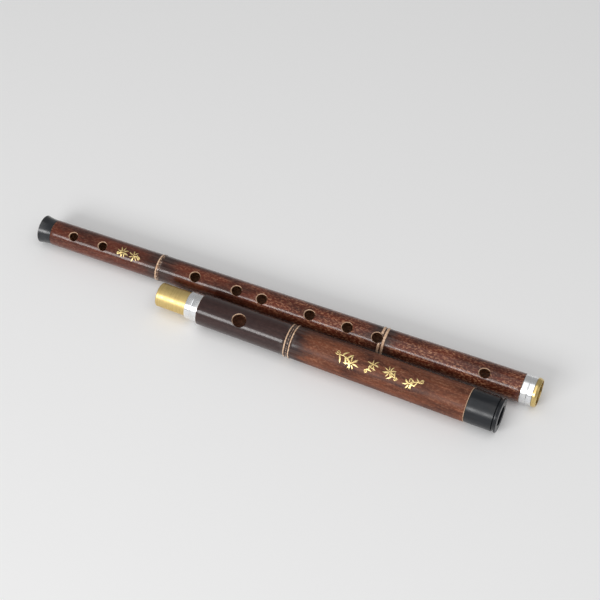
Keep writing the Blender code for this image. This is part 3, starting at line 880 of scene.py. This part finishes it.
between = (HEAD_RADIUS + HEAD_NODE_RADIUS) / 2
head_ridges = []
for place, before, after, height, width, bare, drift in (
        (HEAD_NODE, HEAD_RADIUS, between, HEAD_RIDGE_HEIGHT,
         NODE_WIDTH, (0, 0.2, 0.9, 1, 0.4, 0.1, 0), 0.5 * MM),
        (HEAD_NODE + 1.9 * MM, between, between, 0.10 * MM,
         1.2 * MM, (0, 0.4, 0.5, 0.2, 0), 0.5 * MM),
        (HEAD_NODE + HEAD_NODE_PITCH, between, HEAD_NODE_RADIUS, 0.9 * HEAD_RIDGE_HEIGHT,
         NODE_WIDTH, (0, 0.1, 0.7, 1, 0.5, 0.1, 0), 0.9 * MM)):
    head_ridges += node_ridge(place, before, after, height, width, bare, drift)
collar_edge = eased_edge(HEAD_START, HEAD_RADIUS, 0.45 * MM, -1, 0.45)
cap_edge = eased_edge(HEAD_END, HEAD_FAR_RADIUS, 0.5 * MM, 1, 0.75)
head_outside = plain_rows((HEAD_TUBE_START, HEAD_SLEEVE), (HEAD_START, HEAD_SLEEVE)) + collar_edge
for run in (head_ridges, cap_edge):
    head_outside += straight(head_outside[-1], run[0])[1:] + run
head_outside += plain_rows((HEAD_END, CAP_SPIGOT), (HEAD_TUBE_END, CAP_SPIGOT))
head_bore = plain_rows((HEAD_TUBE_START, TENON_COUNTERBORE), (TENON_SEAT, TENON_COUNTERBORE))
head_bore += straight((TENON_SEAT, HEAD_BORE), (HEAD_TUBE_END, HEAD_BORE))
head_bore += plain_rows((HEAD_TUBE_END, HEAD_BORE))

head_bamboo = bamboo_finish(
    "head_lacquered_bamboo", head_section,
    ((0.025, 0.0092, 0.0088), (0.180, 0.056, 0.027), (0.42, 0.210, 0.125), (0.062, 0.040, 0.034)),
    nodes=((HEAD_NODE, 5 * MM, 6 * MM), (HEAD_NODE + HEAD_NODE_PITCH, 5 * MM, 15 * MM)),
    warmth=((105 * MM, 0.05), (124 * MM, 1.0)), flecks=((107 * MM, 0.05), (124 * MM, 0.6)),
    coat=((106 * MM, 0.85), (122 * MM, 0.0)), satin=0.2)
head_cut = cut_bamboo_finish(
    "head_hole_walls", head_section, (0.080, 0.034, 0.020), (0.190, 0.085, 0.045), 0.5)
head_bore_stain = cut_bamboo_finish(
    "head_bore_stain", head_section, (0.22, 0.090, 0.050), (0.42, 0.190, 0.110), 0.5)
head_holes = [hole_at(BLOW_HOLE, BLOW_SIZE)]
head_mesh = drilled_tube("head_bamboo", head_outside, head_bore, head_holes, rubbing=0.4, seed=21.0)
head_bamboo_piece = settle("head_bamboo", head_mesh, head_section, (head_bamboo, head_cut, head_bore_stain))
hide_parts("head_tube")
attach(head_bamboo_piece, "head_section")

# Tenon. A brass tube glued into the head's bamboo; the bare length slides into
# the socket, so its tip is chamfered and its surface left satin from the lathe.
TENON_RADIUS = 9.2 * MM
TENON_BORE = 8.7 * MM
TENON_FREE = 24.9 * MM

tenon_brass = brass_finish("tenon_brass", head_section, 4400.0, 0.42, 0.008 * MM)
tenon_corners = [
    (TENON_END, TENON_RADIUS, 0.0), (0.35 * MM, TENON_RADIUS, 0.3 * MM),
    (0.0, TENON_RADIUS - 0.25 * MM, 0.1 * MM), (0.0, TENON_BORE, 0.12 * MM), (TENON_END, TENON_BORE, 0.0),
]
tenon = turned("tenon_brass_tube", tenon_corners, head_section, tenon_brass)
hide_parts("head_tenon")
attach(tenon, "head_section")

# Collar behind the tenon. The ferrule's twin, with an end wall that closes on
# the tenon and meets the socket's flange when the flute is put together.
COLLAR_END = 35.1 * MM
COLLAR_WALL = 1.0 * MM
COLLAR_BORE = 10.25 * MM

collar_silver = silver_finish("collar_nickel_silver", head_section)
collar_bore = [
    (TENON_FREE, TENON_COUNTERBORE, 0.05 * MM), (TENON_FREE + COLLAR_WALL, TENON_COUNTERBORE, 0.0),
    (TENON_FREE + COLLAR_WALL, COLLAR_BORE, 0.0), (COLLAR_END, COLLAR_BORE, 0.0),
]
collar_corners = banded_corners(TENON_FREE, COLLAR_END, collar_bore)
collar = turned("collar_bands", collar_corners, head_section, collar_silver)
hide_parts("head_collar")
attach(collar, "head_section")

# Horn cap on the head end. Turned black horn over a spigot of the bamboo, with
# a deep groove and a thin bead close to its open end.
CAP_START = 248.8 * MM
CAP_END = 272.4 * MM
CAP_RADIUS = 12.7 * MM
CAP_GROOVE_RADIUS = 11.7 * MM
CAP_GROOVE_START = 269.4 * MM
CAP_BEAD_START = 270.8 * MM
CAP_BEAD_RADIUS = 13.04 * MM
CAP_BORE = 7.0 * MM
CAP_SEAT = 258.0 * MM

cap_horn = horn_finish("cap_horn", head_section, 0.3, 0.3)
cap_corners = [
    (CAP_END, CAP_GROOVE_RADIUS, 0.25 * MM), (CAP_END, CAP_BEAD_RADIUS - 0.35 * MM, 0.35 * MM),
    (CAP_END - 0.8 * MM, CAP_BEAD_RADIUS, 0.5 * MM), (CAP_BEAD_START, CAP_BEAD_RADIUS - 0.5 * MM, 0.3 * MM),
    (CAP_BEAD_START, CAP_GROOVE_RADIUS, 0.3 * MM), (CAP_GROOVE_START, CAP_GROOVE_RADIUS, 0.3 * MM),
    (CAP_GROOVE_START, CAP_RADIUS, 0.7 * MM), (CAP_START, CAP_RADIUS, 0.2 * MM),
    (CAP_START, CAP_SPIGOT + GLUE_ROOM, 0.0), (CAP_SEAT, CAP_SPIGOT + GLUE_ROOM, 0.0),
    (CAP_SEAT, CAP_BORE, 0.0), (CAP_END, CAP_BORE, 0.6 * MM),
]
cap = turned("cap_horn_turned", cap_corners, head_section, cap_horn)
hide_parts("head_cap")
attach(cap, "head_section")

# Plug. A cork pushed along the head's bore to just past the blow hole, where it
# closes the air column; it can be shifted a little to tune the octaves.
PLUG_START = 81.3 * MM
PLUG_END = 99.3 * MM
PLUG_RADIUS = 8.15 * MM


def cork_finish(name, section):
    """Pressed cork: grains of two browns, with dark pits between them."""
    finish, tree, shader = new_finish(name)
    vector = along_section(tree, section)
    cells = add(tree, "ShaderNodeTexVoronoi", {"Vector": vector, "Scale": 900.0}).outputs["Distance"]
    pits = stretched_noise(tree, vector, 380, 380, 4.0, 0.7, 3.0)
    colour = mix_colour(tree, graded(tree, cells, 0.1, 0.6), (0.42, 0.25, 0.12, 1), (0.60, 0.40, 0.22, 1))
    colour = mix_colour(tree, graded(tree, pits, 0.6, 0.7), colour, (0.12, 0.06, 0.03, 1))
    feed(tree, shader, Base_Color=colour, Roughness=graded(tree, pits, 0.3, 0.7, 0.75, 0.95))
    relief(tree, shader, pits, 0.6, 0.2 * MM)
    return finish


plug_cork = cork_finish("plug_cork", head_section)
plug_corners = [
    (PLUG_END, 0.0, 0.0), (PLUG_END, PLUG_RADIUS, 0.5 * MM),
    (PLUG_START, PLUG_RADIUS, 0.5 * MM), (PLUG_START, 0.0, 0.0),
]
plug = turned("plug_cork_turned", plug_corners, head_section, plug_cork, solid=True)
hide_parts("head_plug")
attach(plug, "plug")

# Gilded sprigs. Where such flutes are engraved and gilded, small flower sprigs
# lie along the top of each section: two by the vents, four past the head node.
# Their petals and leaves are set by nodes, then wrapped round the tube.
LEAF_STATIONS = 9
LEAF_HALF_WIDTH = 0.115
LEAF_BEND = 0.06
LEAF_PROFILE = ((-1.0, -0.012), (-0.9, 0.008), (0.0, 0.014), (0.9, 0.008), (1.0, -0.012))
STEM_RADIUS = 0.3 * MM
STEM_WAVES = 5.0
SPREAD = math.radians(52.0)
WAVER_SHARE = 0.1
FIRST_SEED = 3
TAPER_RUN = 4 * MM


def gilt_leaf():
    """One blade of unit length along X, domed, with its rim let into the skin."""
    shape = bmesh.new()
    rows = []
    for index in range(1, LEAF_STATIONS):
        share = index / LEAF_STATIONS
        half = LEAF_HALF_WIDTH * math.sin(math.pi * share ** 0.75) ** 0.9
        bend = LEAF_BEND * math.sin(math.pi * share)
        rows.append([
            shape.verts.new((share, bend + half * across, height)) for across, height in LEAF_PROFILE])
    heel = shape.verts.new((0.0, 0.0, 0.0))
    tip = shape.verts.new((1.0, 0.0, 0.0))
    for k in range(len(LEAF_PROFILE)):
        on = (k + 1) % len(LEAF_PROFILE)
        for before, after in zip(rows, rows[1:]):
            shape.faces.new((before[k], before[on], after[on], after[k]))
        shape.faces.new((heel, rows[0][on], rows[0][k]))
        shape.faces.new((tip, rows[-1][k], rows[-1][on]))
    return put_in_scene("gilt_leaf", closed_mesh("gilt_leaf", shape))


def make_sprig_tree():
    """Geometry Nodes: a wavering stem with leaves on either side in turn, a curl
    at its heel and a flower at its tip, all wrapped round the tube at Centre."""
    tree = bpy.data.node_groups.new("gilt_sprig", "GeometryNodeTree")
    name_sockets(tree, "OUTPUT", "Geometry", "Geometry")
    name_sockets(tree, "INPUT", "Object", "Leaf")
    name_sockets(tree, "INPUT", "Material", "Gilt")
    name_sockets(tree, "INPUT", "Float", "Centre", "Length", "Leaf Length", "Petal Length", "Spread",
                 "Waver", "Turn", "Tube Radius", "Taper", "Stem Radius")
    name_sockets(tree, "INPUT", "Int", "Leaves", "Petals", "Seed")
    given = add(tree, "NodeGroupInput").outputs

    def geo(kind, inputs=None, **settings):
        return add(tree, "GeometryNode" + kind, inputs, **settings).outputs[0]

    def times(first, second):
        return combined(tree, first, second)

    def plus(first, second):
        return combined(tree, first, second, "ADD")

    def wave(operation, value):
        return add(tree, "ShaderNodeMath", {0: value}, operation=operation).outputs[0]

    def vector(**parts):
        return add(tree, "ShaderNodeCombineXYZ", parts).outputs[0]

    def turning(angle):
        return add(tree, "FunctionNodeEulerToRotation", {"Euler": vector(Z=angle)}).outputs[0]

    def chance(low, high):
        inputs = {2: low, 3: high, "Seed": given["Seed"]}
        return add(tree, "FunctionNodeRandomValue", inputs, data_type="FLOAT").outputs[1]

    def joined(*parts):
        """All the parts as one, in the order in which their links are made."""
        join = add(tree, "GeometryNodeJoinGeometry")
        for part in parts:
            tree.links.new(part, join.inputs[0])
        return join.outputs[0]

    def moved(shape, place):
        return geo("Transform", {"Geometry": shape, "Translation": place})

    def set_blades(points, turn, length):
        """The leaf on each point, turned about the skin's normal and sized."""
        leaf = add(tree, "GeometryNodeObjectInfo", {"Object": given["Leaf"]}).outputs["Geometry"]
        size = times(length, chance(0.8, 1.15))
        sized = vector(X=size, Y=size, Z=length)
        inputs = {"Points": points, "Instance": leaf, "Rotation": turning(turn), "Scale": sized}
        return geo("InstanceOnPoints", inputs)

    rod = geo("CurvePrimitiveCircle", {"Resolution": 6, "Radius": given["Stem Radius"]})

    def flat_rod(curve):
        drawn = geo("CurveToMesh", {"Curve": curve, "Profile Curve": rod, "Fill Caps": True})
        return geo("Transform", {"Geometry": drawn, "Scale": (1.0, 1.0, 0.4)})

    line = geo("CurvePrimitiveLine", {"End": vector(X=given["Length"])})
    fine = geo("ResampleCurve", {"Curve": line, "Count": 32})
    share = add(tree, "GeometryNodeSplineParameter").outputs["Factor"]
    sway = vector(Y=times(wave("SINE", times(share, STEM_WAVES)), given["Waver"]))
    stem_line = geo("SetPosition", {"Geometry": fine, "Offset": sway})
    places = geo("ResampleCurve", {"Curve": stem_line, "Count": given["Leaves"]})
    leaf_points = geo("CurveToPoints", {"Curve": places}, mode="EVALUATED")
    number = geo("InputIndex")
    side = combined(tree, times(combined(tree, number, 2.0, "MODULO"), 2.0), 1.0, "SUBTRACT")
    spread = times(times(side, given["Spread"]), chance(0.7, 1.2))
    leaves = set_blades(leaf_points, spread, given["Leaf Length"])

    whorl = geo("MeshCircle", {"Vertices": given["Petals"], "Radius": times(given["Petal Length"], 0.2)})
    step = combined(tree, math.tau, given["Petals"], "DIVIDE")
    petals = set_blades(whorl, times(number, step), given["Petal Length"])
    heart_radius = times(given["Petal Length"], 0.13)
    heart = geo("MeshCylinder", {"Vertices": 10, "Radius": heart_radius, "Depth": 0.3 * MM})
    tip = vector(X=given["Length"], Y=times(given["Waver"], math.sin(STEM_WAVES)))
    flower = moved(joined(petals, heart), tip)

    curl_end = times(given["Leaf Length"], 0.34)
    coil = geo("CurveSpiral", {
        "Resolution": 20, "Rotations": 1.4, "Start Radius": 0.3 * MM, "End Radius": curl_end, "Height": 0.0})
    curl = moved(flat_rod(coil), vector(X=times(curl_end, -0.9), Y=times(given["Waver"], 1.2)))

    real = geo("RealizeInstances", {"Geometry": joined(flat_rod(stem_line), leaves, flower, curl)})
    centred = moved(real, vector(X=times(given["Length"], -0.5)))
    faced = geo("Transform", {"Geometry": centred, "Rotation": turning(given["Turn"])})

    flat = add(tree, "ShaderNodeSeparateXYZ", {"Vector": geo("InputPosition")}).outputs
    angle = combined(tree, flat["Y"], given["Tube Radius"], "DIVIDE")
    radius = plus(flat["Z"], plus(given["Tube Radius"], times(flat["X"], given["Taper"])))
    round_y = times(radius, wave("SINE", angle))
    round_z = times(radius, wave("COSINE", angle))
    wrapped = vector(X=plus(flat["X"], given["Centre"]), Y=round_y, Z=round_z)
    round_tube = geo("SetPosition", {"Geometry": faced, "Position": wrapped})
    gilded = geo("SetMaterial", {"Geometry": round_tube, "Material": given["Gilt"]})
    tree.links.new(gilded, add(tree, "NodeGroupOutput").inputs[0])
    return tree


def gilt_finish(name, section):
    """The sprigs' gold: warm, a little grainy, duller where it is rubbed."""
    finish, tree, shader = new_finish(name, Metallic=1.0)
    vector = along_section(tree, section)
    grain = stretched_noise(tree, vector, 1400, 1400, 4.0, 0.7, 2.0)
    colour = mix_colour(tree, graded(tree, grain, 0.35, 0.62), (0.66, 0.46, 0.16, 1), (0.97, 0.81, 0.40, 1))
    feed(tree, shader, Base_Color=colour, Roughness=graded(tree, grain, 0.3, 0.7, 0.32, 0.5))
    relief(tree, shader, grain, 0.3, 0.03 * MM)
    return finish


sprig_tree = make_sprig_tree()
leaf_pattern = gilt_leaf()


def lay_sprigs(name, section, body, gilt, rows, sprigs):
    """All the sprigs of one section, as one plain mesh that rides on its body.
    Each is (centre, stem length, leaf length, petal length, turn, leaves, petals)."""
    together = bmesh.new()
    for index, (centre, length, leaf_length, petal_length, turn, leaves, petals) in enumerate(sprigs):
        holder = put_in_scene(name, bpy.data.meshes.new(name))
        growth = holder.modifiers.new("Sprig", "NODES")
        growth.node_group = sprig_tree
        radius = row_radius(rows, centre)
        taper = (row_radius(rows, centre + TAPER_RUN) - radius) / TAPER_RUN
        sizes = {
            "Leaf": leaf_pattern, "Gilt": gilt, "Centre": centre, "Length": length,
            "Leaf Length": leaf_length, "Petal Length": petal_length, "Spread": SPREAD,
            "Waver": WAVER_SHARE * length * (-1) ** index, "Turn": turn, "Tube Radius": radius,
            "Taper": taper, "Stem Radius": STEM_RADIUS, "Leaves": leaves, "Petals": petals,
            "Seed": FIRST_SEED + index,
        }
        for item in sprig_tree.interface.items_tree:
            if item.item_type == "SOCKET" and item.in_out == "INPUT":
                growth[item.identifier] = sizes[item.name]
        bpy.context.view_layer.update()
        depsgraph = bpy.context.evaluated_depsgraph_get()
        grown = bpy.data.meshes.new_from_object(holder.evaluated_get(depsgraph))
        together.from_mesh(grown)
        bpy.data.objects.remove(holder, do_unlink=True)
    piece = settle(name, closed_mesh(name, together), section, (gilt,))
    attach(piece, body)


body_gilding = gilt_finish("body_gilding", body_section)
lay_sprigs("body_gilt_sprigs", body_section, "body_section", body_gilding, body_outside, (
    (71.6 * MM, 3.0 * MM, 3.2 * MM, 3.9 * MM, 0.5, 3, 8),
    (84.3 * MM, 3.4 * MM, 3.4 * MM, 4.1 * MM, 2.7, 3, 7),
))
head_gilding = gilt_finish("head_gilding", head_section)
lay_sprigs("head_gilt_sprigs", head_section, "head_section", head_gilding, head_outside, (
    (155.0 * MM, 10.5 * MM, 5.6 * MM, 4.7 * MM, -0.2, 6, 7),
    (174.2 * MM, 6.0 * MM, 4.2 * MM, 3.9 * MM, 0.8, 5, 6),
    (191.2 * MM, 5.6 * MM, 4.2 * MM, 4.1 * MM, 2.7, 4, 8),
    (208.6 * MM, 8.0 * MM, 4.6 * MM, 4.0 * MM, 3.4, 5, 7),
))
bpy.data.objects.remove(leaf_pattern, do_unlink=True)

# Studio. A pale floor under an even sky, a broad soft lamp high over the right
# end and a brighter long one low in front, which draws the streak on each tube.
FLOOR_SIZE = 8.0
SKY_STRENGTH = 0.36

floor_mesh = bpy.data.meshes.new("floor")
floor_shape = bmesh.new()
bmesh.ops.create_grid(floor_shape, x_segments=1, y_segments=1, size=FLOOR_SIZE / 2)
floor_shape.to_mesh(floor_mesh)
floor_shape.free()
floor = put_in_scene("floor", floor_mesh)
floor_finish = new_finish(
    "pale_floor", Base_Color=(0.92, 0.92, 0.92, 1.0), Roughness=0.9, Specular_IOR_Level=0.1)[0]
floor_mesh.materials.append(floor_finish)

world = bpy.data.worlds.new("studio")
world.use_nodes = True
sky = world.node_tree.nodes["Background"].inputs
sky["Color"].default_value = (1.0, 1.0, 1.0, 1.0)
sky["Strength"].default_value = SKY_STRENGTH
bpy.context.scene.world = world


def soft_lamp(name, place, width, height, power):
    """A soft lamp whose width lies along the flute."""
    lamp_data = bpy.data.lights.new(name, "AREA")
    lamp_data.shape = "RECTANGLE"
    lamp_data.size = width
    lamp_data.size_y = height
    lamp_data.energy = power
    lamp = put_in_scene(name, lamp_data)
    lamp.location = place
    lamp.rotation_euler = (Vector((place[0], 0.0, 0.0)) - Vector(place)).to_track_quat("-Z", "Y").to_euler()


soft_lamp("long_lamp", (-0.62, -2.04, 1.11), width=1.45, height=0.7, power=29.5)
soft_lamp("broad_lamp", (0.7, -0.8, 2.37), width=2.6, height=3.1, power=25.0)

bpy.context.scene.view_settings.view_transform = "Standard"
